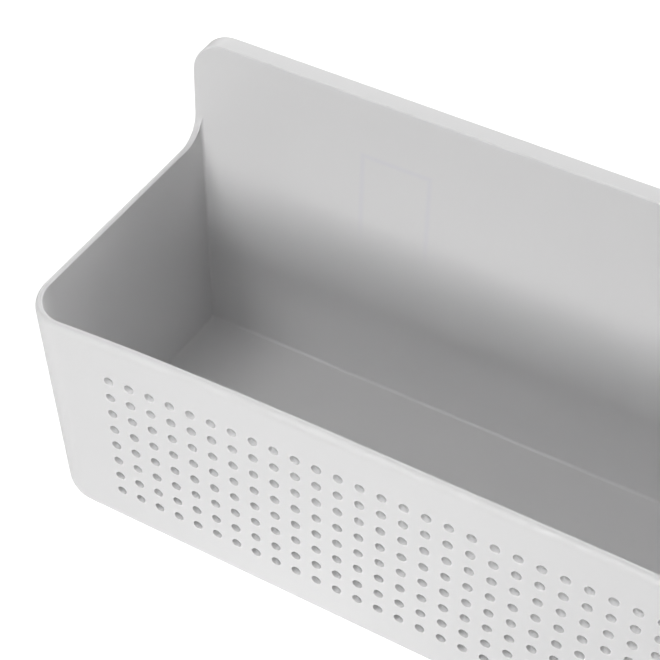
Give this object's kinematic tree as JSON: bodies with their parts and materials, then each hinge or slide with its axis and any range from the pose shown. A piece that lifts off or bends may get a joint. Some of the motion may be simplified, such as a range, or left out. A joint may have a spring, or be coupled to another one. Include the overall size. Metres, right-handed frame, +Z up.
{
  "type": "adhesive wall storage bin",
  "caption": "Long shallow wall bin with a perforated front, rounded corners and a tall back plate, hung on clips with adhesive pads and lifted off upwards.",
  "frame": {"origin": "on the wall plane, at mid-length, level with the bin's underside", "axes": "+X along the length, to the right seen from the front; +Y towards the wall; +Z up"},
  "size_m": [0.3014, 0.1068, 0.1207],
  "materials": {
    "bin_plastic": "satin, fine even grain, light cool grey",
    "clip_plastic": "smooth moulded, off-white",
    "adhesive_pad": "clear film over a soft adhesive"
  },
  "bodies": {
    "wall_hangers": {"adhesive_pad_left": "adhesive_pad", "adhesive_pad_right": "adhesive_pad", "hanger_clip_left": "clip_plastic", "hanger_clip_right": "clip_plastic"},
    "bin": {"storage_bin": "bin_plastic"}
  },
  "joints": [
    {"name": "bin_lift", "type": "slide", "parent": "wall_hangers", "child": "bin", "axis": [0, 0, 1], "range_m": [0, 0.036]}
  ]
}
